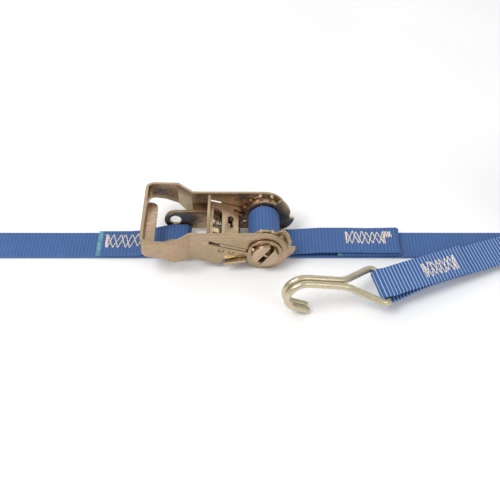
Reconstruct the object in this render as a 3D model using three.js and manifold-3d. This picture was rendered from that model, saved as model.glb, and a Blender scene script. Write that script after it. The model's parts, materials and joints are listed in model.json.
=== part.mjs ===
// Ratchet tie down: a 25 mm webbing ratchet with a fixed strap, a long strap and two double-J hooks.
// Millimetres, +Z up. X runs along the strap, Y is across it, and the table is at z = 0.
// It is built with the spindle above x = 0, then moved so that its box is centred on the origin.
import * as THREE from 'three';
import { mergeVertices } from 'three/addons/utils/BufferGeometryUtils.js';
import Module from 'manifold-3d';

const wasm = await Module();
wasm.setup();

// Driving dimensions.
const AXIS_Z = 16;
const SHEET = 2;
const GAP = 0.3;
const WEB_WIDTH = 25;
const WEB_THICK = 1.5;
const BASE_IN = 13.8;
const WHEEL_IN = 16.1;
const WHEEL_OUT = 19.5;
const HANDLE_IN = 20;
const HANDLE_OUT = HANDLE_IN + SHEET;
const WASHER_IN = 22.3;
const WASHER_THICK = 1.4;
const SPINDLE_END = 26.8;
const SPINDLE_R = 8.75;
const SPINDLE_SLOT = 3.4;
const SPINDLE_SLOT_ANGLE = 55;
const BORE_R = SPINDLE_R + 0.35;
const WASHER_R = 11.9;
const PIN_R = 1;
const PIN_Y = 25.25;
const PIN_HALF_LENGTH = 9.8;
const PIN_HEAD_R = 1.4;
const ROLL_R = 11.6;
const TEETH = 12;
const TOOTH_R = 16;
const ROOT_R = 12.6;
const TOOTH_BASE = 2.8;
const TOOTH_TIP = 2.2;
const TOOTH_GAP_ANGLE = 176.2;
const DRIVE_ANGLE = 16;
const DRIVE_DROP = -2.24;
const LOCK_ANGLE = -10.3;
const LOCK_DROP = -2.94;
const TABLE_LAYER = WEB_THICK / 2;
const SECOND_LAYER = TABLE_LAYER + WEB_THICK + GAP;

const STEEL = { color: 0xb9a07d, roughness: 0.35, metalness: 0.9 };
const HOOK_STEEL = { color: 0xc8be96, roughness: 0.3, metalness: 0.9 };
const SPRING_STEEL = { color: 0xd8d4c8, roughness: 0.3, metalness: 1 };
const WEBBING = { color: 0x4a70b2, roughness: 0.85, metalness: 0 };
const TIE = { color: 0x20242c, roughness: 0.7, metalness: 0 };

const radians = THREE.MathUtils.degToRad;

// Facets round a full circle, and how far a cutting solid reaches past what it cuts.
const FINE = 32;
const COARSE = 20;
const WIRE_SIDES = 12;
const PAST = 1;
const MERGE = 1e-4;

// Solids.
function toSolid(geometry) {
  const bare = geometry.clone();
  bare.deleteAttribute('normal');
  bare.deleteAttribute('uv');
  const merged = mergeVertices(bare, MERGE);
  const vertProperties = new Float32Array(merged.attributes.position.array);
  const triVerts = new Uint32Array(merged.index.array);
  return new wasm.Manifold(new wasm.Mesh({ numProp: 3, vertProperties, triVerts }));
}

function toGeometry(solid) {
  const mesh = solid.getMesh();
  const geometry = new THREE.BufferGeometry();
  geometry.setAttribute('position', new THREE.BufferAttribute(mesh.vertProperties, 3));
  geometry.setIndex(new THREE.BufferAttribute(mesh.triVerts, 1));
  return geometry;
}

// A solid is moved by moving its three.js geometry.
function moved(solid, matrix) {
  return toSolid(toGeometry(solid).applyMatrix4(matrix));
}

function turned(solid, degrees) {
  return moved(solid, new THREE.Matrix4().makeRotationY(radians(degrees)));
}

function join(solids) {
  return solids.reduce((sum, solid) => sum.add(solid));
}

function block(x0, x1, y0, y1, z0, z1) {
  const geometry = new THREE.BoxGeometry(x1 - x0, y1 - y0, z1 - z0);
  geometry.translate((x0 + x1) / 2, (y0 + y1) / 2, (z0 + z1) / 2);
  return toSolid(geometry);
}

// An outline drawn in X and Z, made solid from y0 to y1.
function sidePlate(shape, y0, y1, curveSegments = 6) {
  const geometry = new THREE.ExtrudeGeometry(shape, { depth: y1 - y0, bevelEnabled: false, curveSegments });
  geometry.rotateX(Math.PI / 2);
  geometry.translate(0, y1, 0);
  return toSolid(geometry);
}

// An outline drawn in X and Y, made solid from z0 to z1.
function flatPlate(shape, z0, z1, curveSegments = 6) {
  const geometry = new THREE.ExtrudeGeometry(shape, { depth: z1 - z0, bevelEnabled: false, curveSegments });
  geometry.translate(0, 0, z0);
  return toSolid(geometry);
}

function roundBar(radius, y0, y1, sides = FINE, x = 0, z = 0) {
  const geometry = new THREE.CylinderGeometry(radius, radius, y1 - y0, sides);
  geometry.translate(x, (y0 + y1) / 2, z);
  return toSolid(geometry);
}

function polygon(points) {
  return new THREE.Shape(points.map(([a, b]) => new THREE.Vector2(a, b)));
}

function bothSides(make) {
  return make(1).add(make(-1));
}

function between(side, near, far) {
  return side > 0 ? [near, far] : [-far, -near];
}

function arc(cx, cz, radius, from, to, steps) {
  const points = [];
  for (let i = 0; i <= steps; i += 1) {
    const angle = radians(from + ((to - from) * i) / steps);
    points.push([cx + radius * Math.cos(angle), cz + radius * Math.sin(angle)]);
  }
  return points;
}

// A flat strip of webbing whose middle follows a path in X and Z.
function ribbon(path, width = WEB_WIDTH, thickness = WEB_THICK) {
  const middle = path.map(([x, z]) => new THREE.Vector2(x, z));
  const upper = [];
  const lower = [];
  middle.forEach((point, i) => {
    const before = middle[Math.max(i - 1, 0)];
    const after = middle[Math.min(i + 1, middle.length - 1)];
    const into = point.clone().sub(before).normalize();
    const out = after.clone().sub(point).normalize();
    const along = into.add(out).normalize();
    const first = i === 0 ? out : point.clone().sub(before).normalize();
    const stretch = 1 / Math.max(0.5, Math.abs(along.dot(first)));
    const side = new THREE.Vector2(-along.y, along.x).multiplyScalar((thickness / 2) * stretch);
    upper.push(point.clone().add(side));
    lower.push(point.clone().sub(side));
  });
  return sidePlate(new THREE.Shape([...upper, ...lower.reverse()]), -width / 2, width / 2);
}

// A radial line on which a pawl slides: s runs outward along it and t is square to it, upward.
// A plate drawn in s and y is made solid from t0 to t1 and turned onto the line.
function onLine(solid, angle, drop) {
  const turn = new THREE.Matrix4().makeRotationY(Math.PI + radians(angle));
  return moved(solid, new THREE.Matrix4().makeTranslation(0, 0, drop).multiply(turn));
}

function linePlate(points, t0, t1, angle, drop) {
  return onLine(flatPlate(polygon(points), -t1, -t0), angle, drop);
}

function lineBlock(s0, s1, y0, y1, t0, t1, angle, drop) {
  return onLine(block(s0, s1, y0, y1, -t1, -t0), angle, drop);
}

function driveBlock(s0, s1, y0, y1, t0, t1) {
  return lineBlock(s0, s1, y0, y1, t0, t1, DRIVE_ANGLE, DRIVE_DROP);
}

function lockBlock(s0, s1, y0, y1, t0, t1) {
  return lineBlock(s0, s1, y0, y1, t0, t1, LOCK_ANGLE, LOCK_DROP);
}

function mirrored(half) {
  return [...half, ...half.map(([s, y]) => [s, -y]).reverse()];
}

// Base frame: two side plates joined by two flat webs at the bottom, pressed from one sheet.
const ARM_END_X = -63;
const ARM_END_Z = -3.7;
const ARM_END_R = 8;
const ARM_HOLE_R = 4;
const BASE_BOTTOM = ARM_END_Z - ARM_END_R;
const BASE_HEAD_R = 13.2;
const BASE_STEP_R = 18.6;
const LOBE_X = 7.5;
const LOBE_Z = -0.2;
const LOBE_R = 13.8;
const LOCK_TRAVEL = 4.2;
const LOCK_EAR_IN = 12.9;
const LOCK_EAR_OUT = 29;
const STRAP_BAR = [-70, -54.3];
const MIDDLE_WEB = [-41.4, -37];
const SPRING_TAB_X = -38.6;
const SPRING_TAB_HALF = 5;
const SPRING_TAB_TOP = -6.2;
const ARM_TO_NECK = [
  [-35.5, ARM_END_Z + ARM_END_R],
  [-34.6, 0.6],
  [-20.3, -3],
  [-20.3, 2],
  [-13.6, -0.1],
  [-13.1, 1.4],
];
const STOP_TOOTH = [
  [17.9, 2.8],
  [17.9, -2.3],
  [21.1, -2.3],
];

function basePlateOutline() {
  return polygon([
    ...arc(ARM_END_X, ARM_END_Z, ARM_END_R, 270, 90, 8),
    ...ARM_TO_NECK,
    ...arc(0, 0, BASE_HEAD_R, 165, 54, 9),
    ...arc(0, 0, BASE_STEP_R, 50, 9, 5),
    ...STOP_TOOTH,
    ...arc(LOBE_X, LOBE_Z, LOBE_R, -14, -90, 6),
    [-12, BASE_BOTTOM],
  ]);
}

function baseFrame() {
  const slotHalf = SHEET / 2 + GAP;
  const slotEnd = LOCK_EAR_OUT + LOCK_TRAVEL + GAP;
  const plates = bothSides((side) => {
    const [y0, y1] = between(side, BASE_IN, BASE_IN + SHEET);
    return sidePlate(basePlateOutline(), y0, y1)
      .subtract(roundBar(BORE_R, y0 - PAST, y1 + PAST))
      .subtract(roundBar(ARM_HOLE_R, y0 - PAST, y1 + PAST, COARSE, ARM_END_X, ARM_END_Z))
      .subtract(lockBlock(LOCK_EAR_IN, slotEnd, y0 - PAST, y1 + PAST, -slotHalf, slotHalf));
  });
  const reach = BASE_IN + 0.5;
  const webTop = BASE_BOTTOM + SHEET;
  const webs = [STRAP_BAR, MIDDLE_WEB].map(([x0, x1]) => block(x0, x1, -reach, reach, BASE_BOTTOM, webTop));
  const springTab = block(
    SPRING_TAB_X, MIDDLE_WEB[1],
    -SPRING_TAB_HALF, SPRING_TAB_HALF,
    BASE_BOTTOM + SHEET / 2, SPRING_TAB_TOP,
  );
  return join([plates, ...webs, springTab]);
}

// Pawls and their springs. Each half outline is drawn in s and y, and mirrored across the middle plane.
const TIP_HALF = 0.6;
const TIP_RISE = 3.4;
const TIP_LENGTH_IN_S = 6.4;

function pawlTips(s0, y0, y1, angle, drop) {
  const half = SHEET / 2;
  const wedge = polygon([
    [s0, -TIP_HALF],
    [s0 + TIP_RISE, -half],
    [s0 + TIP_LENGTH_IN_S, -half],
    [s0 + TIP_LENGTH_IN_S, half],
    [s0 + TIP_RISE, half],
    [s0, TIP_HALF],
  ]);
  return bothSides((side) => {
    const [a, b] = between(side, y0, y1);
    return onLine(sidePlate(wedge, a, b), angle, drop);
  });
}

const TIP_IN = WHEEL_IN + 0.1;
const TIP_OUT = WHEEL_OUT - 0.1;
const LOCK_TIP_S = 13.3;
const THUMB_IN = HANDLE_OUT + GAP;
const THUMB_OUT = 25.4;
const LOCK_HALF_OUTLINE = [
  [17.5, 13.4],
  [15.5, 13.4],
  [15.5, 16.2],
  [18.6, 16.2],
  [18.6, THUMB_IN],
  [13.4, THUMB_IN],
  [13.4, THUMB_OUT],
  [28.6, THUMB_OUT],
  [27.4, THUMB_IN],
  [23.6, THUMB_IN],
  [23.6, WHEEL_OUT],
  [LOCK_EAR_OUT, WHEEL_OUT],
  [LOCK_EAR_OUT, 13.4],
];

function lockPawl() {
  const plate = linePlate(mirrored(LOCK_HALF_OUTLINE), -SHEET / 2, SHEET / 2, LOCK_ANGLE, LOCK_DROP);
  return plate.add(pawlTips(LOCK_TIP_S, TIP_IN, TIP_OUT, LOCK_ANGLE, LOCK_DROP));
}

const EAR_OUT = HANDLE_OUT - 0.1;
const EAR_IN = HANDLE_IN - 0.8;
const DRIVE_TIP_S = 17;
const DRIVE_HALF_OUTLINE = [
  [19.2, 13.4],
  [22.6, 13.4],
  [22.6, TIP_OUT],
  [13.5, HANDLE_IN - 0.1],
  [13.5, EAR_OUT],
  [31.8, EAR_OUT],
  [31.8, EAR_IN],
  [39.4, EAR_IN],
];
const WINDOW_NEAR = -16.6;
const WINDOW_FAR = 13.2;
const DRIVE_WINDOW = [
  [30.9, WINDOW_NEAR],
  [37.4, WINDOW_NEAR],
  [37.4, WINDOW_FAR],
  [34.4, WINDOW_FAR],
  [32.2, WINDOW_FAR - 1],
  [30.9, WINDOW_FAR - 4],
];
const OVAL_S = 24.8;
const OVAL_Y = [-1.8, 5.8];
const OVAL_R = 2;
const FLANGE_X = [-39.4, -37.5];
const FLANGE_FOOT = 8.2;
const FLANGE_TOP = 15.5;
const CUT_DEPTH = 3;
// The tongue that the spring pushes on: from and to in s, then in y.
const SPRING_TONGUE = [21.9, 23.2, -0.2, 4.2];

function drivePawl() {
  const plate = linePlate(mirrored(DRIVE_HALF_OUTLINE), -SHEET / 2, SHEET / 2, DRIVE_ANGLE, DRIVE_DROP);
  const window = linePlate(DRIVE_WINDOW, -CUT_DEPTH, CUT_DEPTH, DRIVE_ANGLE, DRIVE_DROP);
  const oval = [
    ...arc(OVAL_S, OVAL_Y[1], OVAL_R, 0, 180, 6),
    ...arc(OVAL_S, OVAL_Y[0], OVAL_R, 180, 360, 6),
  ];
  const ovalCut = linePlate(oval, -CUT_DEPTH, CUT_DEPTH, DRIVE_ANGLE, DRIVE_DROP);
  const flange = block(FLANGE_X[0], FLANGE_X[1], -EAR_IN, EAR_IN, FLANGE_FOOT, FLANGE_TOP);
  const tongue = driveBlock(...SPRING_TONGUE, SEAT_T0, 0);
  const tips = pawlTips(DRIVE_TIP_S, TIP_IN, TIP_OUT, DRIVE_ANGLE, DRIVE_DROP);
  return join([plate.subtract(window).subtract(ovalCut), flange, tips, tongue]);
}

const SEAT_T0 = -5.55;
const SEAT_T1 = -4.05;
const SEAT_SIDE = HANDLE_IN - 0.4;
const SEAT_HALF_OUTLINE = [
  [21.3, SEAT_SIDE],
  [31.6, SEAT_SIDE],
  [31.6, 6],
  [37, 6],
];
// The gap that holds the spring, and the stop behind it: from and to in s, then in y.
const SPRING_NEST = [15, 35.6, -1.2, 5.2];
const SPRING_STOP = [35.6, 37, -0.6, 4.6];
const SPRING_STOP_TOP = -1.5;
const SEAT_TABS = [
  [28.1, 31.1],
  [21.3, 23.6],
];

function driveSpringSeat() {
  const plate = linePlate(mirrored(SEAT_HALF_OUTLINE), SEAT_T0, SEAT_T1, DRIVE_ANGLE, DRIVE_DROP);
  const nest = driveBlock(...SPRING_NEST, SEAT_T0 - PAST, SEAT_T1 + PAST);
  const stop = driveBlock(...SPRING_STOP, SEAT_T0, SPRING_STOP_TOP);
  const tabs = bothSides((side) => {
    const [y0, y1] = between(side, SEAT_SIDE - PAST, HANDLE_OUT - 0.2);
    return join(SEAT_TABS.map(([s0, s1]) => driveBlock(s0, s1, y0, y1, SEAT_T0, SEAT_T1)));
  });
  return join([plate.subtract(nest), stop, tabs]);
}

const SPRING_WIRE_R = 0.4;
const DRIVE_SPRING = { radius: 1.9, turns: 7, length: 10.8, start: [24.2, 2, -3.5] };
const LOCK_SPRING = { radius: 2, turns: 5, length: 5.4, start: [30.5, 0, 0] };

class Helix extends THREE.Curve {
  constructor(radius, turns, length) {
    super();
    this.radius = radius;
    this.turns = turns;
    this.length = length;
  }

  getPoint(t) {
    const angle = t * this.turns * Math.PI * 2;
    return new THREE.Vector3(t * this.length, this.radius * Math.cos(angle), this.radius * Math.sin(angle));
  }
}

function coilSpring(radius, wire, turns, length) {
  const section = new THREE.Shape().absarc(0, 0, wire, 0, Math.PI * 2);
  const extrudePath = new Helix(radius, turns, length);
  const steps = turns * 10;
  return new THREE.ExtrudeGeometry(section, { steps, extrudePath, bevelEnabled: false, curveSegments: 3 });
}

// Handle: one strip bent into a long loop, wider at the grip, with a flange under the grip.
const HANDLE_TOP = 16;
const GRIP_TOP = 17.2;
const GRIP_END = -83.4;
const GRIP_OUT = 30.9;
const GRIP_CORNER_R = 5.8;
const GRIP_FLARE = [-50.2, -60.8];
const HANDLE_END_R = 15.8;
const HANDLE_MOUTH = 15;
const REACH = 30;
const HANDLE_LOWER_EDGE = [
  [GRIP_END - PAST, 5],
  [-76, 4],
  [-70, 3],
  [-60, -1.5],
  [-51, -6],
  [-42, -7.6],
  ...arc(-32.6, -8.4, 2.8, 240, 320, 4),
  [-28.6, -6.7],
  [-12.4, -3.3],
];
const FLAP_X = [GRIP_END + 1.2, -75];
const FLAP_HALF = 21;
const FLAP_Z = [4.6, 6.6];
const FLAP_CORNER_R = 5;
const DRIVE_SLOT = [9.9, 39.5];
const TAB_CLEAR = 0.4;
const SLOT_CLEAR = 0.5;

// The strip's plan line at a depth inside its outer face.
function handlePlan(depth) {
  const lean = depth * 0.35;
  const cornerX = GRIP_END + GRIP_CORNER_R;
  return [
    [HANDLE_MOUTH + 2, HANDLE_OUT - depth],
    [GRIP_FLARE[0] - lean, HANDLE_OUT - depth],
    [GRIP_FLARE[1] - lean, GRIP_OUT - depth],
    ...arc(cornerX, GRIP_OUT - GRIP_CORNER_R, GRIP_CORNER_R - depth, 90, 180, 5),
  ];
}

function handleCuts() {
  const half = SHEET / 2 + SLOT_CLEAR;
  const slot = driveBlock(DRIVE_SLOT[0], DRIVE_SLOT[1], -REACH, REACH, -half, half);
  const tabWindows = SEAT_TABS.map(([s0, s1]) => driveBlock(
    s0 - TAB_CLEAR, s1 + TAB_CLEAR,
    -REACH, REACH,
    SEAT_T0 - TAB_CLEAR, SEAT_T1 + TAB_CLEAR,
  ));
  const plates = bothSides((side) => {
    const [y0, y1] = between(side, HANDLE_IN - PAST, HANDLE_OUT + PAST);
    return block(-60, 0, y0, y1, -REACH, REACH);
  });
  return join([slot, ...tabWindows]).intersect(plates);
}

function handleFrame() {
  const high = flatPlate(polygon(mirrored(handlePlan(0))), -REACH, REACH);
  const low = flatPlate(polygon(mirrored(handlePlan(SHEET))), -REACH - PAST, REACH + PAST);
  const mouth = block(HANDLE_MOUTH, REACH, -HANDLE_IN, HANDLE_IN, -REACH, REACH);
  const side = polygon([
    [GRIP_END - PAST, GRIP_TOP],
    ...HANDLE_LOWER_EDGE,
    ...arc(0, 0, HANDLE_END_R, 222, 450, 14),
    [-45, HANDLE_TOP],
  ]);
  const reach = GRIP_OUT + PAST;
  const loop = high.subtract(low).subtract(mouth).intersect(sidePlate(side, -reach, reach));
  const flap = polygon([
    [FLAP_X[0], -FLAP_HALF],
    [FLAP_X[1], -FLAP_HALF],
    ...arc(FLAP_X[1] - FLAP_CORNER_R, FLAP_HALF - FLAP_CORNER_R, FLAP_CORNER_R, 0, 90, 4),
    [FLAP_X[0], FLAP_HALF],
  ]);
  return loop
    .add(flatPlate(flap, FLAP_Z[0], FLAP_Z[1]))
    .subtract(handleCuts())
    .subtract(roundBar(BORE_R, -REACH, REACH));
}

// Spindle: two half round bars, held apart by the webbing and by the wheels' bridges.
function spindleHalf(sign) {
  const bar = roundBar(SPINDLE_R, -SPINDLE_END, SPINDLE_END);
  const keep = block(-REACH, REACH, -REACH, REACH, SPINDLE_SLOT / 2, REACH);
  const holes = bothSides((side) => {
    const hole = new THREE.CylinderGeometry(PIN_R + GAP, PIN_R + GAP, REACH, WIRE_SIDES);
    hole.rotateX(Math.PI / 2);
    hole.translate(0, side * PIN_Y, 0);
    return toSolid(hole);
  });
  const turn = sign > 0 ? 0 : 180;
  return turned(bar.intersect(keep).subtract(holes), turn - SPINDLE_SLOT_ANGLE);
}

function splitPin(side) {
  const pin = new THREE.CylinderGeometry(PIN_R, PIN_R, PIN_HALF_LENGTH * 2, WIRE_SIDES);
  pin.rotateX(Math.PI / 2);
  pin.translate(0, side * PIN_Y, 0);
  const head = new THREE.SphereGeometry(PIN_HEAD_R, WIRE_SIDES, 8);
  head.translate(0, side * PIN_Y, PIN_HALF_LENGTH);
  return turned(toSolid(pin).add(toSolid(head)), -SPINDLE_SLOT_ANGLE);
}

function ratchetWheel(y0) {
  const y1 = y0 + WHEEL_OUT - WHEEL_IN;
  const pitch = 360 / TEETH;
  const base = THREE.MathUtils.radToDeg(TOOTH_BASE / 2 / ROOT_R);
  const tip = THREE.MathUtils.radToDeg(TOOTH_TIP / 2 / TOOTH_R);
  const points = [];
  for (let i = 0; i < TEETH; i += 1) {
    const middle = TOOTH_GAP_ANGLE + pitch * (i + 0.5);
    points.push(...arc(0, 0, ROOT_R, middle - pitch + base, middle - base, 3));
    points.push(...arc(0, 0, TOOTH_R, middle - tip, middle + tip, 1));
  }
  const bridgeHalf = SPINDLE_SLOT / 2 - GAP;
  const bridge = block(-REACH, REACH, y0 - PAST, y1 + PAST, -bridgeHalf, bridgeHalf);
  const bore = roundBar(BORE_R, y0 - PAST, y1 + PAST).subtract(turned(bridge, -SPINDLE_SLOT_ANGLE));
  return sidePlate(polygon(points), y0, y1).subtract(bore);
}

function washer(y0) {
  const y1 = y0 + WASHER_THICK;
  return roundBar(WASHER_R, y0, y1, 40).subtract(roundBar(BORE_R, y0 - PAST, y1 + PAST));
}

function webbingRoll() {
  const half = WEB_WIDTH / 2;
  const layer = SPINDLE_SLOT / 2 - GAP;
  const hollow = roundBar(SPINDLE_R + GAP, -half - PAST, half + PAST);
  const tube = roundBar(ROLL_R, -half, half, 36).subtract(hollow);
  const bar = block(-ROLL_R + PAST, ROLL_R - PAST, -half, half, -layer, layer);
  return tube.add(turned(bar, -SPINDLE_SLOT_ANGLE));
}

// Double-J hook: one wire from a tip, round the bend, along the shank, across the eye bar and back.
// Its own origin is the middle of the bend, and X points to the eye.
const WIRE_R = 2.35;
const WIRE_APART = 2.5;
const BEND_R = 11;
const BEND_END = 258;
const TIP_LENGTH = 10.8;
const SHANK = 24.7;
const EYE_X = 54.1;
const EYE_HALF = 15.6;
const HOOK_PITCH = 17.9;
const BEND_Z = 16.9;

// The wire from the bend to the eye bar: X, and Y from the hook's middle plane.
const SHANK_TO_EYE = [
  [SHANK * 0.5, WIRE_APART],
  [SHANK, WIRE_APART + 0.2],
  [SHANK + 4, WIRE_APART + 1.2],
  [EYE_X - 5, EYE_HALF - 0.3],
  [EYE_X - 1.8, EYE_HALF],
  [EYE_X - 0.3, EYE_HALF - 1.6],
  [EYE_X, EYE_HALF - 4],
];

function hookPath() {
  const half = [];
  const end = radians(BEND_END);
  const tip = [BEND_R * Math.cos(end), BEND_R * Math.sin(end)];
  for (const back of [TIP_LENGTH, TIP_LENGTH * 0.5]) {
    half.push([tip[0] - back * Math.sin(end), WIRE_APART, tip[1] + back * Math.cos(end)]);
  }
  for (const [x, z] of arc(0, 0, BEND_R, BEND_END, 90, 9)) {
    half.push([x, WIRE_APART, z]);
  }
  half.push(...SHANK_TO_EYE.map(([x, y]) => [x, y, BEND_R]));
  const back = half.map(([x, y, z]) => [x, -y, z]).reverse();
  const middle = [[EYE_X, 0, BEND_R]];
  return [...half, ...middle, ...back].map(([x, y, z]) => new THREE.Vector3(x, y, z));
}

function hookGeometry() {
  const section = new THREE.Shape().absarc(0, 0, WIRE_R, 0, Math.PI * 2);
  const extrudePath = new THREE.CatmullRomCurve3(hookPath(), false, 'centripetal');
  const options = { steps: 84, extrudePath, bevelEnabled: false, curveSegments: 5 };
  return new THREE.ExtrudeGeometry(section, options);
}

const FREE_HOOK = { x: 23.6, y: -60.2, turn: 12.5 };
const FIXED_HOOK = { x: -317, y: 0, turn: 0 };

function eyeBar(hook) {
  const pitch = radians(HOOK_PITCH);
  const along = EYE_X * Math.cos(pitch) + BEND_R * Math.sin(pitch);
  const z = BEND_Z - EYE_X * Math.sin(pitch) + BEND_R * Math.cos(pitch);
  const turn = radians(hook.turn);
  return { x: hook.x + along * Math.cos(turn), y: hook.y + along * Math.sin(turn), z };
}

// A sewn loop round an eye bar at the origin's X and the given height, with the strap leaving along +X.
const LOOP_R = WIRE_R + GAP + WEB_THICK / 2 + 0.1;
const SEWN_START = 34;
const SEWN_END = 64;

function hookLoop(z, lower) {
  const upper = lower + WEB_THICK + GAP;
  return {
    over: [[SEWN_END, upper], [SEWN_START, upper], [SEWN_START * 0.55, upper + (z - lower) * 0.5]],
    round: arc(0, z, LOOP_R, 70, 285, 10),
    under: [[SEWN_START * 0.5, lower + (z - lower) * 0.2], [SEWN_START, lower]],
  };
}

const BAR_LOOP = { x: -55.5, z: 6, radius: 3 };
const FIXED_STRAP_UNDER_RATCHET = [
  [-130, TABLE_LAYER],
  [-88, TABLE_LAYER],
  [-74, 2.2],
];
const FIXED_STRAP_SEWN_END = [
  [-71, 8],
  [-88, SECOND_LAYER],
  [-118, SECOND_LAYER],
];

function fixedStrap() {
  const eye = eyeBar(FIXED_HOOK);
  const loop = hookLoop(eye.z, TABLE_LAYER);
  return ribbon([
    ...[...loop.over, ...loop.round, ...loop.under].map(([x, z]) => [x + eye.x, z]),
    ...FIXED_STRAP_UNDER_RATCHET,
    ...arc(BAR_LOOP.x, BAR_LOOP.z, BAR_LOOP.radius, -90, 90, 8),
    ...FIXED_STRAP_SEWN_END,
  ]);
}

const STORE_X = 245;
const STORE_R = 44;
const STORE_HOLE = 8;
const STORE_Z = STORE_R + SECOND_LAYER + WEB_THICK / 2 + GAP;

const LONG_STRAP_START = [
  [-2, 3.3],
  [4, 3.1],
  [14, 1.5],
  [22, TABLE_LAYER],
];

function longStrap() {
  return ribbon([...LONG_STRAP_START, [STORE_X, TABLE_LAYER]]);
}

// The tail comes off the spindle, lies over the long strap, and is folded under and sewn.
const STRAP_TAIL_PATH = [
  [7.4, 5.1],
  [12, 4.3],
  [18, 4.1],
  [28, 5],
  [40, 5.9],
  [58, 5.8],
  [80, 5.2],
  [93.5, 5],
  [95.3, 4.4],
  [94.6, 3.1],
  [80, 2.8],
  [51, 2.8],
];

function strapTail() {
  return ribbon(STRAP_TAIL_PATH);
}

// The hook strap leaves the eye square to its bar, bears away sideways, and then runs along X.
const BEAR_START = 4;
const BEAR_END = 100;
const BEAR_SLOPE = 0.212;
const HOOK_STRAP_OVER = [
  [64, 9.6],
  [50, 10.8],
  [34, 12.1],
  [18, 13.5],
];
const HOOK_STRAP_UNDER = [
  [10, 7.6],
  [20, 9.2],
  [34, 10.3],
  [50, 9],
  [64, 7.8],
  [BEAR_END, 4.4],
  [140, SECOND_LAYER],
];

function sideways(x) {
  const bearing = Math.min(Math.max(x - BEAR_START, 0), BEAR_END - BEAR_START) * BEAR_SLOPE;
  const straight = Math.max(x - BEAR_END, 0) * Math.tan(radians(FREE_HOOK.turn));
  return bearing - straight;
}

function hookStrap() {
  const eye = eyeBar(FREE_HOOK);
  const reach = (STORE_X - eye.x) / Math.cos(radians(FREE_HOOK.turn));
  const geometry = toGeometry(ribbon([
    ...HOOK_STRAP_OVER,
    ...arc(0, eye.z, LOOP_R, 75, 285, 10),
    ...HOOK_STRAP_UNDER,
    [reach, SECOND_LAYER],
  ]));
  const { position } = geometry.attributes;
  for (let i = 0; i < position.count; i += 1) {
    position.setY(i, position.getY(i) + sideways(position.getX(i)));
  }
  return geometry;
}

function storedRoll() {
  const half = WEB_WIDTH / 2;
  const hole = roundBar(STORE_HOLE, -half - PAST, half + PAST, COARSE);
  return roundBar(STORE_R, -half, half, 48).subtract(hole);
}

const TIE_HALF_WIDTH = 5;
const TIE_THICK = 1.2;
const TIE_BOTTOM = 3;

function rollTie() {
  const inside = WEB_WIDTH / 2 + GAP;
  const outside = inside + TIE_THICK;
  const roof = STORE_R + GAP;
  const cutHalf = TIE_HALF_WIDTH + PAST;
  return block(-TIE_HALF_WIDTH, TIE_HALF_WIDTH, -outside, outside, TIE_BOTTOM, roof + TIE_THICK)
    .subtract(block(-cutHalf, cutHalf, -inside, inside, TIE_BOTTOM + TIE_THICK, roof));
}

// The scene graph.
const model = new THREE.Group();

function addMesh(parent, name, geometry, look) {
  const mesh = new THREE.Mesh(geometry, new THREE.MeshStandardMaterial({ ...look, flatShading: true }));
  mesh.name = name;
  parent.add(mesh);
  return mesh;
}

function addSolid(parent, name, solid, look) {
  return addMesh(parent, name, toGeometry(solid), look);
}

const mechanism = new THREE.Group();
mechanism.position.z = AXIS_Z;
model.add(mechanism);
addSolid(mechanism, 'base_frame', baseFrame(), STEEL);
addSolid(mechanism, 'lock_pawl', lockPawl(), STEEL);
addSolid(mechanism, 'handle_frame', handleFrame(), STEEL);
addSolid(mechanism, 'drive_pawl', drivePawl(), STEEL);
addSolid(mechanism, 'drive_spring_seat', driveSpringSeat(), STEEL);
addSolid(mechanism, 'spindle_half_upper', spindleHalf(1), STEEL);
addSolid(mechanism, 'spindle_half_lower', spindleHalf(-1), STEEL);
addSolid(mechanism, 'ratchet_wheel_near', ratchetWheel(-WHEEL_OUT), STEEL);
addSolid(mechanism, 'ratchet_wheel_far', ratchetWheel(WHEEL_IN), STEEL);
addSolid(mechanism, 'washer_near', washer(-WASHER_IN - WASHER_THICK), STEEL);
addSolid(mechanism, 'washer_far', washer(WASHER_IN), STEEL);
addSolid(mechanism, 'split_pin_near', splitPin(-1), STEEL);
addSolid(mechanism, 'split_pin_far', splitPin(1), STEEL);
addSolid(mechanism, 'webbing_roll', webbingRoll(), WEBBING);

// A spring lies along a pawl's line, from (s, y, t) outward.
function addSpring(name, spring, angle, drop) {
  const coil = coilSpring(spring.radius, SPRING_WIRE_R, spring.turns, spring.length);
  const mesh = addMesh(mechanism, name, coil, SPRING_STEEL);
  const tilt = radians(angle);
  const [s, y, t] = spring.start;
  const x = -s * Math.cos(tilt) + t * Math.sin(tilt);
  const z = drop + s * Math.sin(tilt) + t * Math.cos(tilt);
  mesh.position.set(x, y, z);
  mesh.rotation.y = Math.PI + tilt;
}

addSpring('drive_spring', DRIVE_SPRING, DRIVE_ANGLE, DRIVE_DROP);
addSpring('lock_spring', LOCK_SPRING, LOCK_ANGLE, LOCK_DROP);

addSolid(model, 'fixed_strap', fixedStrap(), WEBBING);
addSolid(model, 'long_strap', longStrap(), WEBBING);
addSolid(model, 'strap_tail', strapTail(), WEBBING);
const freeEye = eyeBar(FREE_HOOK);
const strapMesh = addMesh(model, 'hook_strap', hookStrap(), WEBBING);
strapMesh.position.set(freeEye.x, freeEye.y, 0);
strapMesh.rotation.z = radians(FREE_HOOK.turn);
addSolid(model, 'stored_roll', storedRoll(), WEBBING).position.set(STORE_X, 0, STORE_Z);
addSolid(model, 'roll_tie', rollTie(), TIE).position.set(STORE_X, 0, STORE_Z);

for (const [name, hook] of Object.entries({ free_hook: FREE_HOOK, fixed_hook: FIXED_HOOK })) {
  const mesh = addMesh(model, name, hookGeometry(), HOOK_STEEL);
  mesh.position.set(hook.x, hook.y, BEND_Z);
  mesh.rotation.set(0, radians(HOOK_PITCH), radians(hook.turn), 'ZYX');
}

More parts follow.
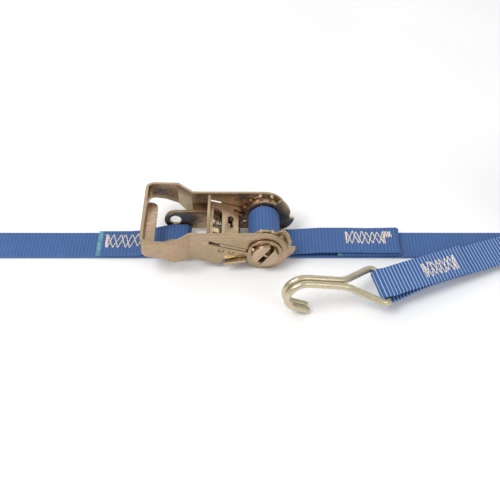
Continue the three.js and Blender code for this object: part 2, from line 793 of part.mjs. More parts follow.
// Centre the whole object's box on the origin, with its lowest point at z = 0.
model.updateMatrixWorld(true);
const box = new THREE.Box3().setFromObject(model, true);
const centre = box.getCenter(new THREE.Vector3());
const part = new THREE.Group();
model.position.set(-centre.x, -centre.y, -box.min.z);
part.add(model);

export default part;
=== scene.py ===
import json
import math
import random

import bpy
from mathutils import Matrix, Vector


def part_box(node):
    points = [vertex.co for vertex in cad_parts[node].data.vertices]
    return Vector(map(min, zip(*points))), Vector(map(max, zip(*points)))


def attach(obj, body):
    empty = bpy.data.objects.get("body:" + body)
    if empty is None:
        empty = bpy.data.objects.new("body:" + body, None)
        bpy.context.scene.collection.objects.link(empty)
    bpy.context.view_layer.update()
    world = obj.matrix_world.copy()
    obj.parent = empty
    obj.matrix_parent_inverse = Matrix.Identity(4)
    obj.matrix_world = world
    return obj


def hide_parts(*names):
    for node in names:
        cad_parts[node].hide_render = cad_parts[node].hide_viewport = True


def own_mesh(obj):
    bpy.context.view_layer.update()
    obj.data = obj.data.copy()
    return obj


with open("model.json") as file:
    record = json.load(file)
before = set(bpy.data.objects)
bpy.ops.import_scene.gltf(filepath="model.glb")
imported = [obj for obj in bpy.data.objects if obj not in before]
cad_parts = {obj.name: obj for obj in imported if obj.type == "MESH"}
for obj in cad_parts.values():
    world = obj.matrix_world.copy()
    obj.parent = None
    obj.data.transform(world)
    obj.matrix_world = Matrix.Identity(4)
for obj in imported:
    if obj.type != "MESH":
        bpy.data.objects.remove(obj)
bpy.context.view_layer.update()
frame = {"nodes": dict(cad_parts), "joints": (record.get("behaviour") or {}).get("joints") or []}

MM = 0.001
WEB_WIDTH = 25.0
WEB_THICK = 1.4
WOUND_THICK = 0.98
RIB_PITCH = 2.4
RIB_HEIGHT = 0.05
YARN_PITCH = 0.95
LAYER_GAP = 0.12
TABLE_GAP = 0.15
STATION = 0.6
STITCH = 2.6
THREAD_R = 0.36
CAMERA_DISTANCE = 0.591
CAMERA_LENS = 60.26
CAMERA_TILT = 45.0
CAMERA_SENSOR = 36.0
UV_SCALE = 0.04
LAYER_1 = WEB_THICK / 2 + TABLE_GAP
LAYER_2 = LAYER_1 + WEB_THICK + LAYER_GAP
LOOP_R = 3.5
ROLL_OUTER = 44.5
ROLL_PITCH = 3.0
ROLL_TURNS = 11
ROLL_THICK = 1.32
SLOT_ANGLE = 55.0
WIRE_R = 2.35
BEND_R = 11.0
EYE_REACH = 54.1
HOOK_PITCH = 17.9
SPRING_WIRE_R = 0.36
SMOOTH_ANGLE = 32
BEVEL_ANGLE = 35
WELD_GAP = 0.00001
FLOOR_HALF = 4.0
FLOOR_DROP = 0.0002
# GLINT: the colour of the painted highlights along the webbing's rib crests
GLINT = (0.46, 0.62, 0.90)

random.seed(7)


# ---------------------------------------------------------------- places from the frame
def middle(node):
    low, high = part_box(node)
    return (low + high) / 2


def joint(name):
    return next(j for j in frame["joints"] if j["name"] == name)


spindle = middle("washer_near")
axis_x = spindle.x
mid_y = middle("base_frame").y
axis_z = spindle.z


def at(x, y, z):
    """A place given in millimetres from the spindle's middle plane, with z above the table."""
    return Vector((axis_x + x * MM, mid_y + y * MM, z * MM))


# ---------------------------------------------------------------- camera, light and floor
def make_camera():
    camera = bpy.data.objects.new("camera", bpy.data.cameras.new("camera"))
    bpy.context.scene.collection.objects.link(camera)
    tilt = math.radians(CAMERA_TILT)
    target = at(-10.2, -4.0, 0.0)
    camera.location = target + CAMERA_DISTANCE * Vector((0, -math.sin(tilt), math.cos(tilt)))
    camera.rotation_euler = (tilt, 0, 0)
    camera.data.sensor_width = CAMERA_SENSOR
    camera.data.lens = CAMERA_LENS
    camera.data.clip_start = 0.01
    camera.data.clip_end = 20.0
    bpy.context.scene.camera = camera


def area_light(name, place, target, size, energy):
    light = bpy.data.lights.new(name, "AREA")
    light.shape = "RECTANGLE"
    light.size = size[0]
    light.size_y = size[1]
    light.energy = energy
    lamp = bpy.data.objects.new(name, light)
    bpy.context.scene.collection.objects.link(lamp)
    lamp.location = place
    lamp.rotation_euler = (Vector(target) - Vector(place)).to_track_quat("-Z", "Y").to_euler()


def make_studio():
    world = bpy.data.worlds.new("studio")
    bpy.context.scene.world = world
    world.use_nodes = True
    nodes = world.node_tree.nodes
    links = world.node_tree.links
    place = nodes.new("ShaderNodeTexCoord")
    split = nodes.new("ShaderNodeSeparateXYZ")
    ramp = nodes.new("ShaderNodeValToRGB")
    ramp.color_ramp.elements[0].position = 0.0
    ramp.color_ramp.elements[0].color = (0.74, 0.74, 0.74, 1)
    ramp.color_ramp.elements[1].position = 0.55
    ramp.color_ramp.elements[1].color = (1.0, 1.0, 1.0, 1)
    links.new(place.outputs["Generated"], split.inputs[0])
    links.new(split.outputs["Z"], ramp.inputs[0])
    background = nodes["Background"]
    links.new(ramp.outputs[0], background.inputs["Color"])
    background.inputs["Strength"].default_value = 0.72
    centre = at(0, 0, 0)
    area_light("key", centre + Vector((-0.55, -0.35, 0.95)), centre, (0.5, 0.5), 6.5)
    area_light("fill", centre + Vector((0.8, -0.7, 0.7)), centre, (0.8, 0.6), 2.2)
    area_light("back", centre + Vector((0.1, 0.9, 0.75)), centre, (1.2, 0.3), 1.2)
    bpy.context.scene.view_settings.view_transform = "Standard"


# ---------------------------------------------------------------- shader building
class Shader:
    """A material whose nodes are added by short calls."""

    def __init__(self, name):
        self.material = bpy.data.materials.new(name)
        self.material.use_nodes = True
        self.tree = self.material.node_tree
        self.bsdf = self.tree.nodes["Principled BSDF"]

    def add(self, kind, **settings):
        node = self.tree.nodes.new(kind)
        for key, value in settings.items():
            setattr(node, key, value)
        return node

    def link(self, source, socket):
        self.tree.links.new(source, socket)

    def feed(self, socket, value):
        if hasattr(value, "links"):
            self.link(value, socket)
        else:
            socket.default_value = value

    def math(self, operation, a, b=0.0):
        node = self.add("ShaderNodeMath", operation=operation)
        self.feed(node.inputs[0], a)
        self.feed(node.inputs[1], b)
        return node.outputs[0]

    def mix(self, factor, a, b):
        node = self.add("ShaderNodeMix", data_type="RGBA")
        self.feed(node.inputs[0], factor)
        self.feed(node.inputs[6], (*a, 1) if isinstance(a, tuple) else a)
        self.feed(node.inputs[7], (*b, 1) if isinstance(b, tuple) else b)
        return node.outputs[2]

    def span(self, value, low, high, to_low=0.0, to_high=1.0):
        node = self.add("ShaderNodeMapRange")
        node.interpolation_type = "SMOOTHSTEP"
        self.feed(node.inputs[0], value)
        for index, number in enumerate((low, high, to_low, to_high), start=1):
            node.inputs[index].default_value = number
        return node.outputs[0]

    def object_place(self, stretch=(1, 1, 1)):
        place = self.add("ShaderNodeTexCoord")
        mapping = self.add("ShaderNodeMapping")
        mapping.inputs["Scale"].default_value = stretch
        self.link(place.outputs["Object"], mapping.inputs["Vector"])
        return mapping.outputs[0]

    def noise(self, scale, detail=3.0, vector=None):
        node = self.add("ShaderNodeTexNoise")
        node.inputs["Scale"].default_value = scale
        node.inputs["Detail"].default_value = detail
        self.link(vector or self.object_place(), node.inputs["Vector"])
        return node.outputs[0]

    def bump(self, height, distance, strength=1.0):
        node = self.add("ShaderNodeBump")
        node.inputs["Strength"].default_value = strength
        node.inputs["Distance"].default_value = distance
        self.link(height, node.inputs["Height"])
        self.link(node.outputs[0], self.bsdf.inputs["Normal"])

    def set(self, **values):
        for key, value in values.items():
            self.feed(self.bsdf.inputs[key.replace("_", " ")], value)


def plated_steel(name, gold, pink, green, rough, dents=0.5):
    shader = Shader(name)
    patches = shader.span(shader.noise(45.0, 2.0), 0.42, 0.66)
    tints = shader.span(shader.noise(90.0, 3.0), 0.5, 0.72)
    grain = shader.noise(1400.0, 4.0, shader.object_place((0.12, 1, 1)))
    colour = shader.mix(patches, gold, pink)
    colour = shader.mix(shader.math("MULTIPLY", tints, 0.7), colour, green)
    colour = shader.mix(shader.span(grain, 0.35, 0.75, 0.0, 0.16), colour, (0.9, 0.82, 0.66))
    roughness = shader.span(shader.noise(600.0, 3.0), 0.3, 0.7, rough - 0.07, rough + 0.09)
    shader.set(Base_Color=colour, Roughness=roughness, Metallic=1.0)
    height = shader.math("ADD", shader.math("MULTIPLY", grain, 0.6), shader.noise(260.0, 2.0))
    shader.bump(height, 0.00004, dents)
    return shader.material


def webbing(name, crown, valley, rib_bump, glints):
    """Woven polyester: ribs across the strap, and yarns side by side in each rib. Its colour has painted
    shade in the weave's hollows, painted light on the crowns and painted glints along the rib tops.
    """
    shader = Shader(name)
    place = shader.add("ShaderNodeUVMap")
    split = shader.add("ShaderNodeSeparateXYZ")
    shader.link(place.outputs[0], split.inputs[0])
    across = shader.math("DIVIDE", split.outputs[0], UV_SCALE)
    along = shader.math("DIVIDE", split.outputs[1], UV_SCALE)
    turn = 2 * math.pi
    rib = shader.math("SINE", shader.math("MULTIPLY", along, turn / RIB_PITCH))
    half_ribs = shader.math("FLOOR", shader.math("DIVIDE", along, RIB_PITCH / 2))
    half_rib = shader.math("MULTIPLY", half_ribs, math.pi)
    yarn_angle = shader.math("ADD", shader.math("MULTIPLY", across, turn / YARN_PITCH), half_rib)
    yarn = shader.math("SINE", yarn_angle)
    slub = shader.noise(900.0, 3.0)
    rib_height = shader.math("MULTIPLY", rib, rib_bump)
    weave = shader.math("ADD", rib_height, shader.math("MULTIPLY", yarn, 0.5))
    # painted shade and light: the colour goes to valley in the hollows of the weave and to crown on its
    # raised yarns
    light = shader.span(shader.math("ADD", weave, slub), -0.9, 2.2)
    colour = shader.mix(light, valley, crown)
    worn = shader.span(shader.noise(38.0, 3.0), 0.45, 0.75, 0.0, 0.2)
    colour = shader.mix(worn, colour, tuple(min(1.0, c * 1.2 + 0.01) for c in crown))
    # painted highlight: a glint painted along each rib's crest, as strong as glints
    glint = shader.span(rib, 0.82, 0.98, 0.0, glints)
    colour = shader.mix(glint, colour, GLINT)
    shader.set(Base_Color=colour, Roughness=0.6, Sheen_Weight=0.08, Sheen_Roughness=0.4)
    shader.bsdf.inputs["Sheen Tint"].default_value = (0.6, 0.75, 1.0, 1)
    height = shader.math("ADD", weave, shader.math("MULTIPLY", slub, 0.8))
    shader.bump(height, 0.00014, 0.6)
    return shader.material


def seared_end():
    """The strap's cut end, melted hard: smoother and greener than the weave."""
    shader = Shader("seared_webbing")
    blotch = shader.span(shader.noise(420.0, 4.0), 0.35, 0.7)
    shader.set(Base_Color=shader.mix(blotch, (0.055, 0.20, 0.28), (0.16, 0.34, 0.36)), Roughness=0.4)
    shader.bump(shader.noise(700.0, 3.0), 0.0002, 0.6)
    return shader.material


def thread_material():
    shader = Shader("stitch_thread")
    ply = shader.span(shader.noise(2600.0, 3.0), 0.3, 0.7)
    shader.set(Base_Color=shader.mix(ply, (0.62, 0.50, 0.42), (0.93, 0.86, 0.76)), Roughness=0.55)
    shader.bump(shader.noise(3000.0, 2.0), 0.00008, 0.6)
    return shader.material


def tie_material():
    shader = Shader("tie_fabric")
    fuzz = shader.span(shader.noise(1500.0, 4.0), 0.3, 0.7)
    shader.set(Base_Color=shader.mix(fuzz, (0.012, 0.013, 0.018), (0.05, 0.052, 0.06)), Roughness=0.9)
    shader.bump(fuzz, 0.0002, 0.7)
    return shader.material


def floor_material():
    shader = Shader("pale_floor")
    soft = shader.span(shader.noise(9.0, 2.0), 0.3, 0.7)
    shader.set(Base_Color=shader.mix(soft, (0.90, 0.90, 0.90), (0.93, 0.93, 0.93)), Roughness=0.8)
    return shader.material


GOLD = plated_steel(
    "plated_steel", (0.405, 0.295, 0.175), (0.435, 0.285, 0.205), (0.365, 0.325, 0.18), 0.33,
)
# a lighter copy of the plated steel: painted light on the small parts that catch more of it
GOLD_LIT = plated_steel(
    "plated_steel_painted_lit", (0.48, 0.375, 0.23), (0.50, 0.35, 0.26), (0.43, 0.39, 0.23), 0.27,
)
WIRE = plated_steel(
    "hook_plating", (0.57, 0.50, 0.34), (0.58, 0.49, 0.36), (0.53, 0.50, 0.33), 0.32, 0.12,
)
SPRING = plated_steel("spring_wire", (0.72, 0.70, 0.66), (0.70, 0.66, 0.60), (0.66, 0.66, 0.58), 0.2)
BLUE = webbing("blue_webbing", (0.049, 0.132, 0.350), (0.024, 0.076, 0.225), 0.55, 0.05)
# the hook strap's webbing: stronger ribs, lighter painted crowns and strong painted glints on its ribs
BLUE_RIBBED_PAINTED_GLINTS = webbing("blue_webbing_ribbed_painted_glints", (0.062, 0.160, 0.400), (0.022, 0.072, 0.220), 1.0, 0.9)
SEARED = seared_end()
THREAD = thread_material()
TIE = tie_material()


# ---------------------------------------------------------------- mesh helpers
def new_piece(name, vertices, faces, material, smooth=True):
    mesh = bpy.data.meshes.new(name)
    mesh.from_pydata([tuple(v) for v in vertices], [], faces)
    mesh.update()
    mesh.materials.append(material)
    if smooth:
        mesh.polygons.foreach_set("use_smooth", [True] * len(mesh.polygons))
    piece = bpy.data.objects.new(name, mesh)
    bpy.context.scene.collection.objects.link(piece)
    return piece


def smooth_path(points, step, rounds):
    """The polyline cut into even steps, with its corners rounded."""
    corners = [Vector(p) for p in points]
    dense = []
    for a, b in zip(corners, corners[1:]):
        count = max(1, round((b - a).length / step))
        dense += [a.lerp(b, i / count) for i in range(count)]
    dense.append(corners[-1])
    for _ in range(rounds):
        inner = [(p + q * 2 + r) / 4 for p, q, r in zip(dense, dense[1:], dense[2:])]
        dense = [dense[0], *inner, dense[-1]]
    return dense


def arc(cx, cz, radius, start, end, count):
    turns = (math.radians(start + (end - start) * i / count) for i in range(count + 1))
    return [(cx + radius * math.cos(t), cz + radius * math.sin(t)) for t in turns]


def strip_section(width, thick):
    """The strap's cross-section as (y, n) places: flat, with fuller edges and rounded sides."""
    half = width / 2
    rim = thick / 2
    upper = []
    count = 14
    for i in range(count + 1):
        y = (half - rim) * (1 - 2 * i / count)
        edge = max(0.0, abs(y) / half - 0.86) / 0.14
        upper.append((y, rim * (1 + 0.16 * math.sin(math.pi * min(1.0, edge)))))
    side = [(-half + rim * (1 - math.sin(a)), rim * math.cos(a)) for a in (0.6, 1.2, math.pi / 2)]
    half_turn = upper + side
    back = [(-y, -n) for y, n in half_turn]
    return half_turn + back


def level(s, y):
    """The lift of a strap that lies level: none."""
    return 0.0


def raised_edge(s, y):
    """The lift of the strap tail's far edge, most at its fold."""
    return 0.9 * max(0.0, y / 12.5) * max(0.0, 1 - abs(s - 86) / 20)


class Strip:
    """A flat strap along a path in X and Z. It keeps its surface, so that stitches can be laid on it."""

    def __init__(self, name, path, place, material, width=WEB_WIDTH, thick=WEB_THICK, **options):
        step = options.get("step", STATION)
        self.stations = smooth_path(path, step, options.get("rounds", 8))
        self.place = place
        self.wave = options.get("wave", 0.12)
        self.ribs = options.get("ribs", RIB_HEIGHT)
        self.lift = options.get("lift", level)
        self.thick = thick
        self.lengths = [0.0]
        for a, b in zip(self.stations, self.stations[1:]):
            self.lengths.append(self.lengths[-1] + (b - a).length)
        self.phase = random.uniform(0, 6)
        self.piece = self.build(name, strip_section(width, thick), material)

    def frame_at(self, index):
        a = self.stations[max(index - 1, 0)]
        b = self.stations[min(index + 1, len(self.stations) - 1)]
        along = (b - a).normalized()
        return self.stations[index], Vector((-along.y, along.x))

    def point(self, index, y, n):
        here, normal = self.frame_at(index)
        s = self.lengths[index]
        sway = self.wave * math.sin(s / 17.0 + self.phase) * (y / WEB_WIDTH)
        lift = self.lift(s, y)
        offset = here + normal * (n + sway + lift)
        return self.place(Vector((offset.x, y, offset.y)))

    def build(self, name, section, material):
        vertices = []
        faces = []
        around = len(section)
        for index, s in enumerate(self.lengths):
            rib = self.ribs * math.sin(2 * math.pi * s / RIB_PITCH)
            for y, n in section:
                vertices.append(self.point(index, y, n + math.copysign(rib, n)))
        for index in range(len(self.lengths) - 1):
            base = index * around
            for k in range(around):
                m = (k + 1) % around
                faces.append((base + k, base + m, base + around + m, base + around + k))
        faces.append(tuple(reversed(range(around))))
        last = (len(self.lengths) - 1) * around
        faces.append(tuple(last + k for k in range(around)))
        piece = new_piece(name, vertices, faces, material)
        layer = piece.data.uv_layers.new(name="UVMap")
        for loop in piece.data.loops:
            index, k = divmod(loop.vertex_index, around)
            layer.data[loop.index].uv = (section[k][0] * UV_SCALE, self.lengths[index] * UV_SCALE)
        return piece

    def length(self):
        return self.lengths[-1] * MM

    def surface(self, s, y, n):
        gaps = [abs(length - s) for length in self.lengths]
        return self.point(gaps.index(min(gaps)), y, n)

    def sear(self, first, last):
        """Gives the stretch from first to last along the strap the melted end's material."""
        self.piece.data.materials.append(SEARED)
        for face in self.piece.data.polygons:
            spots = [self.lengths[min(v // self.around(), len(self.lengths) - 1)] for v in face.vertices]
            if first <= sum(spots) / len(spots) <= last:
                face.material_index = len(self.piece.data.materials) - 1

    def around(self):
        return len(self.piece.data.vertices) // len(self.lengths)


def tube(points, radii, sides):
    """Vertices and faces of a closed round tube through the points."""
    vertices = []
    faces = []
    last_side = None
    for i, point in enumerate(points):
        a = points[max(i - 1, 0)]
        b = points[min(i + 1, len(points) - 1)]
        along = (b - a).normalized()
        upright = abs(along.z) >= 0.9
        guess = last_side or Vector((1, 0, 0) if upright else (0, 0, 1))
        side = (guess - along * guess.dot(along)).normalized()
        last_side = side
        other = along.cross(side)
        for k in range(sides):
            t = 2 * math.pi * k / sides
            vertices.append(point + (side * math.cos(t) + other * math.sin(t)) * radii[i])
    for i in range(len(points) - 1):
        for k in range(sides):
            m = (k + 1) % sides
            faces.append((i * sides + k, i * sides + m, (i + 1) * sides + m, (i + 1) * sides + k))
    faces.append(tuple(reversed(range(sides))))
    faces.append(tuple((len(points) - 1) * sides + k for k in range(sides)))
    return vertices, faces


def sew(name, strip, runs, side):
    """Thread laid on one side of a strip as runs of (s, y) corners, one short stitch after another."""
    vertices = []
    faces = []
    for run in runs:
        for (s0, y0), (s1, y1) in zip(run, run[1:]):
            length = math.hypot(s1 - s0, y1 - y0)
            count = max(1, round(length / STITCH))
            for i in range(count):
                ends = []
                for t in (0.0, 0.16, 0.5, 0.84, 1.0):
                    part = (i + t) / count
                    sink = -0.22 if t in (0.0, 1.0) else 0.12 + 0.14 * math.sin(math.pi * t)
                    jitter = random.uniform(-0.12, 0.12)
                    s = s0 + (s1 - s0) * part + jitter
                    y = y0 + (y1 - y0) * part + jitter
                    ends.append(strip.surface(s, y, side * (strip.thick / 2 + sink)))
                radii = [r * THREAD_R * MM for r in (0.55, 0.95, 1.05, 0.95, 0.55)]
                more, sides = tube(ends, radii, 6)
                start = len(vertices)
                vertices += more
                faces += [tuple(v + start for v in face) for face in sides]
    return new_piece(name, vertices, faces, THREAD)


def zigzag(s0, s1, low, high, period, phase):
    """Corners of a zigzag from s0 to s1 that swings between low and high."""
    corners = []
    s = s0 + phase * period
    up = True
    while s <= s1:
        wander = random.uniform(-0.5, 0.5)
        corners.append((s + wander, (high if up else low) + random.uniform(-0.7, 0.7)))
        up = not up
        s += period / 2
    return corners


def pattern(s0, s1, low, high, period=8.2):
    """Two crossing zigzags, with a short bar of stitches at each end."""
    first = zigzag(s0, s1, low, high, period, 0.0)
    second = [(s, low + high - y) for s, y in zigzag(s0, s1, low, high, period, 0.06)]
    end = max(first[-1][0], second[-1][0])
    bar_start = [(s0 - 0.5, low), (s0 - 0.2, high), (s0 + 0.9, low + 0.5)]
    bar_end = [(end - 0.6, low), (end, high), (end + 0.5, low), (end + 1.1, high)]
    return [first, second, bar_start, bar_end]


# ---------------------------------------------------------------- straps on the base
def plain(point):
    return at(point.x, point.y, point.z)


def eye_place(name):
    """The middle of a hook's eye bar, and how far the hook is turned about the upright."""
    hinge = joint(name)
    centre = Vector(hinge["pos_m"])
    turn = math.atan2(-hinge["axis"][0], hinge["axis"][1])
    return centre, turn


def hook_loop(z, lower):
    """The strap's path over, round and under an eye bar at height z, from a layer at height lower."""
    upper = lower + WEB_THICK + LAYER_GAP
    over = [(64, upper), (34, upper), (26, upper + 0.6), (16, upper + (z - lower) * 0.55)]
    under = [(15, lower + (z - lower) * 0.28), (26, lower + 0.3), (34, lower)]
    return over, arc(0, z, LOOP_R, 72, 286, 14), under


def fixed_strap():
    centre, _ = eye_place("fixed_hook_swing")
    eye_x = (centre.x - axis_x) / MM
    over, round_bar, under = hook_loop(centre.z / MM, LAYER_1)
    shifted = [(x + eye_x, z) for x, z in over + round_bar + under]
    near_bar = [(-130, LAYER_1), (-90, LAYER_1), (-78, 1.5), (-68, 2.6)]
    back = [(-66, 8.8), (-76, 6.2), (-88, 2.9), (-96, LAYER_2), (-118, LAYER_2)]
    path = shifted + near_bar + arc(-55.4, 6, 3.0, -90, 90, 10) + back
    strap = Strip("fixed_strap_webbing", path, plain, BLUE, rounds=5)
    total = strap.lengths[-1]
    strap.sear(total - 3.2, total)
    strap.sear(0, 2.6)
    stitches = sew("fixed_strap_stitches", strap, pattern(total - 33.0, total - 5.0, -4.5, 8.5, 8.6), -1)
    loop_stitches = sew("fixed_hook_stitches", strap, pattern(4.5, 29.5, -6.5, 7.5), -1)
    return strap, [stitches, loop_stitches]


def long_strap():
    low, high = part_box("stored_roll")
    store_x = ((low.x + high.x) / 2 - axis_x) / MM
    path = [(-2, 3.3), (4, 3.1), (14, 1.5), (24, LAYER_1), (store_x, LAYER_1)]
    return Strip("long_strap_webbing", path, plain, BLUE)


def strap_tail():
    path = [(7.4, 5.1), (12, 4.3), (18, 4.2), (28, 5.0), (40, 5.9), (58, 5.9), (80, 5.4), (92.5, 5.3)]
    path += arc(93.4, 4.2, 1.15, 80, -80, 6) + [(80, 3.0), (51, 3.0)]
    strap = Strip("strap_tail_webbing", path, plain, BLUE, rounds=4, lift=raised_edge)
    total = strap.lengths[-1]
    strap.sear(total - 3.0, total)
    stitches = sew("strap_tail_stitches", strap, pattern(50.5, 77.0, -4.0, 8.0, 7.4), 1)
    bar = [[(77.5 + 0.8 * i, 2.5 + 6 * (i % 2)) for i in range(7)]]
    bar_tack = sew("strap_tail_bar_tack", strap, bar, 1)
    return strap, [stitches, bar_tack]


HOOK_STRAP_Z = LAYER_2 + TABLE_GAP
HOOK_STRAP_OVER = [(64, 9.6), (50, 10.8), (34, 12.1), (18, 13.4)]
HOOK_STRAP_UNDER = [
    (10, 7.6), (20, 9.2), (34, 10.35), (50, 9.1), (64, 7.9), (100, 4.4), (140, HOOK_STRAP_Z),
]


def hook_strap():
    centre, turn = eye_place("free_hook_swing")
    low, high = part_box("stored_roll")
    reach = ((low.x + high.x) / 2 - centre.x) / MM / math.cos(turn)
    turned = Matrix.Rotation(turn, 4, "Z")
    bear_start, bear_end, slope = 4.0, 100.0, 0.212

    def sideways(x):
        bearing = (min(max(x, bear_start), bear_end) - bear_start) * slope
        return bearing - max(x - bear_end, 0.0) * math.tan(turn)

    def place(point):
        local = Vector((point.x, point.y + sideways(point.x), point.z)) * MM
        return Vector((centre.x, centre.y, 0)) + turned @ local

    round_bar = arc(0, centre.z / MM, LOOP_R, 75, 285, 14)
    path = HOOK_STRAP_OVER + round_bar + HOOK_STRAP_UNDER + [(reach, HOOK_STRAP_Z)]
    strap = Strip("hook_strap_webbing", path, place, BLUE_RIBBED_PAINTED_GLINTS, rounds=5, ribs=RIB_HEIGHT * 2)
    stitches = sew("hook_strap_stitches", strap, pattern(9.0, 35.0, -7.0, 6.0, 6.6), -1)
    return strap, [stitches]


def spiral(inner, pitch, start, sweep, count):
    """Points on a spiral whose radius grows by pitch each turn, from the angle start."""
    points = []
    for i in range(count + 1):
        turned = sweep * i / count
        radius = inner + pitch * turned / 360
        angle = math.radians(start + turned)
        points.append((radius * math.cos(angle), radius * math.sin(angle)))
    return points


def roll_centre():
    """The rolled-up webbing's middle: its outer layer lies on the table, as the long strap does."""
    low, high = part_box("stored_roll")
    centre = (low + high) / 2
    centre.z = (LAYER_1 + ROLL_OUTER) * MM
    return centre


def stored_roll():
    """The stored length, rolled up double: a layer from the long strap and one from the hook strap."""
    centre = roll_centre()

    def place(point):
        return centre + point * MM

    strips = []
    for name, bottom in (("outer", LAYER_1), ("inner", HOOK_STRAP_Z)):
        start = ROLL_OUTER + LAYER_1 - bottom
        path = spiral(start, -ROLL_PITCH, -90, 360 * ROLL_TURNS, 36 * ROLL_TURNS)
        strips.append(Strip(
            f"stored_roll_{name}", path, place, BLUE,
            thick=ROLL_THICK, step=4.0, rounds=1, ribs=0.0, wave=0.5,
        ))
    return strips


def roll_tie():
    low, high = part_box("roll_tie")
    centre = (low + high) / 2
    centre.z += roll_centre().z - middle("stored_roll").z
    half_y = (high.y - low.y) / 2 - 0.6 * MM
    half_z = (high.z - low.z) / 2 - 0.6 * MM
    corner = 1.2 * MM
    loop = []
    for sy, sz, start in ((1, 1, 0), (-1, 1, 90), (-1, -1, 180), (1, -1, 270)):
        for k in range(5):
            t = math.radians(start + k * 22.5)
            y = sy * (half_y - corner) + corner * math.cos(t)
            z = sz * (half_z - corner) + corner * math.sin(t)
            loop.append((y, z))
    vertices = []
    faces = []
    section = [
        (-4.6, 0.5), (-4.0, 0.62), (4.0, 0.62), (4.6, 0.5),
        (4.6, -0.5), (4.0, -0.6), (-4.0, -0.6), (-4.6, -0.5),
    ]
    for i, (y, z) in enumerate(loop):
        ay, az = loop[i - 1]
        by, bz = loop[(i + 1) % len(loop)]
        out = Vector((0, bz - az, -(by - ay))).normalized()
        for x, n in section:
            vertices.append(centre + Vector((x * MM, y, z)) + out * n * MM)
    size = len(section)
    for i in range(len(loop)):
        j = (i + 1) % len(loop)
        for k in range(size):
            m = (k + 1) % size
            faces.append((i * size + m, i * size + k, j * size + k, j * size + m))
    return new_piece("roll_tie_band", vertices, faces, TIE)


# ---------------------------------------------------------------- webbing on the spindle
def wound_webbing():
    """The two strands that leave the spindle's slot and wind round it."""
    def place(point):
        return at(point.x, point.y, point.z + axis_z / MM)

    strands = []
    for name, start, sweep in (("inner", SLOT_ANGLE - 360, 215), ("outer", SLOT_ANGLE - 180, 395)):
        path = spiral(9.3, 2.0, start, sweep, 60)
        leave = math.radians(start)
        lead = [(t * math.cos(leave), t * math.sin(leave)) for t in (0.4, 4.0, 7.6)]
        strands.append(Strip(
            f"wound_webbing_{name}", lead + path, place, BLUE,
            thick=WOUND_THICK, rounds=2, ribs=0.02, wave=0.0,
        ))
    return strands


# ---------------------------------------------------------------- hooks
def hook_points():
    """The wire's middle in the hook's own frame: X to the eye, origin at the middle of the bend."""
    bend_end = 258.0
    tip = 10.8
    shank = 24.7
    half = 15.6
    apart = 2.5
    eye = EYE_REACH
    end = math.radians(bend_end)
    tip_x = BEND_R * math.cos(end)
    tip_z = BEND_R * math.sin(end)
    points = []
    for back in (tip, tip / 2):
        points.append((tip_x - back * math.sin(end), apart, tip_z + back * math.cos(end)))
    points += [(x, apart, z) for x, z in arc(0, 0, BEND_R, bend_end, 90, 24)]
    points += [
        (shank * 0.5, apart, BEND_R), (shank, apart + 0.1, BEND_R), (shank + 4, apart + 1.2, BEND_R),
        (eye - 5, half - 0.3, BEND_R), (eye - 1.8, half, BEND_R), (eye - 0.3, half - 1.6, BEND_R),
    ]
    points += [(eye, half - 4, BEND_R), (eye, 0, BEND_R)]
    mirrored = [(x, -y, z) for x, y, z in reversed(points[:-1])]
    return points + mirrored


def hook(name, swing):
    centre, turn = eye_place(swing)
    pitch = math.radians(HOOK_PITCH)
    to_row = Matrix.Translation(centre) @ Matrix.Rotation(turn, 4, "Z") @ Matrix.Rotation(pitch, 4, "Y")
    own = smooth_path(hook_points(), 0.7, 10)
    rows = [to_row @ ((p - Vector((EYE_REACH, 0, BEND_R))) * MM) for p in own]
    wire = WIRE_R * MM
    radii = [wire] * len(rows)
    for back, share in ((0, 0.80), (1, 0.97)):
        radii[back] = wire * share
        radii[-1 - back] = wire * share
    vertices, faces = tube(rows, radii, 24)
    return new_piece(name, vertices, faces, WIRE)


# ---------------------------------------------------------------- springs
def line_point(s, y, t, angle, drop):
    """A place on a pawl's line: s outward from the spindle, t square to it, upward."""
    tilt = math.radians(angle)
    x = -s * math.cos(tilt) + t * math.sin(tilt)
    z = drop + s * math.sin(tilt) + t * math.cos(tilt)
    return at(x, y, axis_z / MM + z)


def coil(name, start, length, radius, turns, angle, drop):
    s0, y0, t0 = start
    steps = turns * 24
    middle_line = []
    for i in range(steps + 1):
        part = i / steps
        turned = 2 * math.pi * turns * part
        eased = part - 0.045 * math.sin(2 * math.pi * part)
        y = y0 + radius * math.cos(turned)
        t = t0 + radius * math.sin(turned)
        middle_line.append(line_point(s0 + 0.4 + (length - 0.8) * eased, y, t, angle, drop))
    vertices, faces = tube(middle_line, [SPRING_WIRE_R * MM] * len(middle_line), 10)
    return new_piece(name, vertices, faces, SPRING)


def spring(name, node, body, slide, keep, **shape):
    """A coil set on its body in place of the CAD spring."""
    piece = coil(name, **shape)
    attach(piece, body)
    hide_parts(node)
    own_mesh(piece)


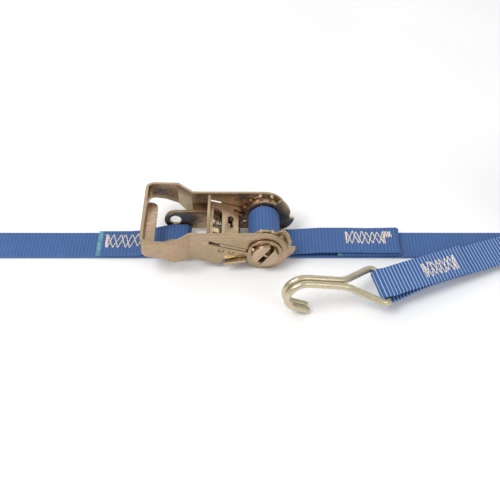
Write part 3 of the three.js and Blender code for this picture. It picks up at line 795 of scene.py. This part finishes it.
# ---------------------------------------------------------------- carried-over steel
def smooth_by_angle():
    """A modifier group that shades a mesh smooth and keeps its steeper edges sharp."""
    group = bpy.data.node_groups.new("smooth_by_angle", "GeometryNodeTree")
    group.interface.new_socket("Geometry", in_out="INPUT", socket_type="NodeSocketGeometry")
    group.interface.new_socket("Geometry", in_out="OUTPUT", socket_type="NodeSocketGeometry")
    nodes = group.nodes
    start = nodes.new("NodeGroupInput")
    end = nodes.new("NodeGroupOutput")
    faces = nodes.new("GeometryNodeSetShadeSmooth")
    faces.domain = "FACE"
    edges = nodes.new("GeometryNodeSetShadeSmooth")
    edges.domain = "EDGE"
    edges.inputs["Shade Smooth"].default_value = False
    angle = nodes.new("GeometryNodeInputMeshEdgeAngle")
    limit = nodes.new("FunctionNodeCompare")
    limit.data_type = "FLOAT"
    limit.operation = "GREATER_THAN"
    limit.inputs[1].default_value = math.radians(SMOOTH_ANGLE)
    group.links.new(angle.outputs["Unsigned Angle"], limit.inputs[0])
    group.links.new(limit.outputs[0], edges.inputs["Selection"])
    group.links.new(start.outputs[0], faces.inputs["Geometry"])
    group.links.new(faces.outputs[0], edges.inputs["Geometry"])
    group.links.new(edges.outputs[0], end.inputs[0])
    return group


def finish_steel(node, material, bevel):
    cad = frame["nodes"][node]
    cad.data.materials.clear()
    cad.data.materials.append(material)
    weld = cad.modifiers.new("weld", "WELD")
    weld.merge_threshold = WELD_GAP
    if bevel:
        edge = cad.modifiers.new("edge", "BEVEL")
        edge.width = bevel * MM
        edge.segments = 2
        edge.limit_method = "ANGLE"
        edge.angle_limit = math.radians(BEVEL_ANGLE)
        edge.use_clamp_overlap = True
    shade = cad.modifiers.new("shade", "NODES")
    shade.node_group = SMOOTH


def settle(strip, node, body, sewn=()):
    """Puts a strap and its stitches on a body, in place of a CAD node."""
    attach(strip.piece, body)
    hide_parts(node)
    for thread in sewn:
        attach(thread, body)
    strip.length()


# ---------------------------------------------------------------- build
make_camera()
make_studio()
SMOOTH = smooth_by_angle()

# each steel part's material and bevel width; the lighter copy paints light on the small parts
STEEL_EDGES = {
    "base_frame": (GOLD, 0.22),
    "handle_frame": (GOLD, 0.3),
    "drive_pawl": (GOLD, 0.2),
    "lock_pawl": (GOLD_LIT, 0.2),
    "drive_spring_seat": (GOLD_LIT, 0.15),
    "spindle_half_upper": (GOLD_LIT, 0.3),
    "spindle_half_lower": (GOLD_LIT, 0.3),
    "ratchet_wheel_near": (GOLD_LIT, 0.2),
    "ratchet_wheel_far": (GOLD_LIT, 0.2),
    "washer_near": (GOLD, 0.25),
    "washer_far": (GOLD, 0.25),
    "split_pin_near": (GOLD_LIT, 0.0),
    "split_pin_far": (GOLD_LIT, 0.0),
}
for node_name, (look, edge_width) in STEEL_EDGES.items():
    finish_steel(node_name, look, edge_width)

long_piece = long_strap()
settle(long_piece, "long_strap", "base")
tail, tail_threads = strap_tail()
settle(tail, "strap_tail", "base", tail_threads)
fixed, fixed_threads = fixed_strap()
settle(fixed, "fixed_strap", "base", fixed_threads)
hook_piece, hook_threads = hook_strap()
settle(hook_piece, "hook_strap", "base", hook_threads)
for rolled in stored_roll():
    settle(rolled, "stored_roll", "base")

for strand in wound_webbing():
    settle(strand, "webbing_roll", "spindle")

spring(
    "drive_spring_coil", "drive_spring", "handle", "drive_pawl_slide", 0.33,
    start=(24.2, 2, -3.5), length=10.8, radius=1.9, turns=8, angle=16.0, drop=-2.24,
)
spring(
    "lock_spring_coil", "lock_spring", "base", "lock_pawl_slide", 0.2,
    start=(30.5, 0, 0), length=5.4, radius=2.0, turns=5, angle=-10.3, drop=-2.94,
)

band = roll_tie()
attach(band, "base")
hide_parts("roll_tie")

for hook_name, swing, body in (
    ("free_hook", "free_hook_swing", "free_hook_body"),
    ("fixed_hook", "fixed_hook_swing", "fixed_hook_body"),
):
    wire_piece = hook(f"{hook_name}_wire", swing)
    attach(wire_piece, body)
    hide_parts(hook_name)

floor = new_piece(
    "floor",
    [(x * FLOOR_HALF, y * FLOOR_HALF, -FLOOR_DROP) for x, y in ((-1, -1), (1, -1), (1, 1), (-1, 1))],
    [(0, 1, 2, 3)],
    floor_material(),
)
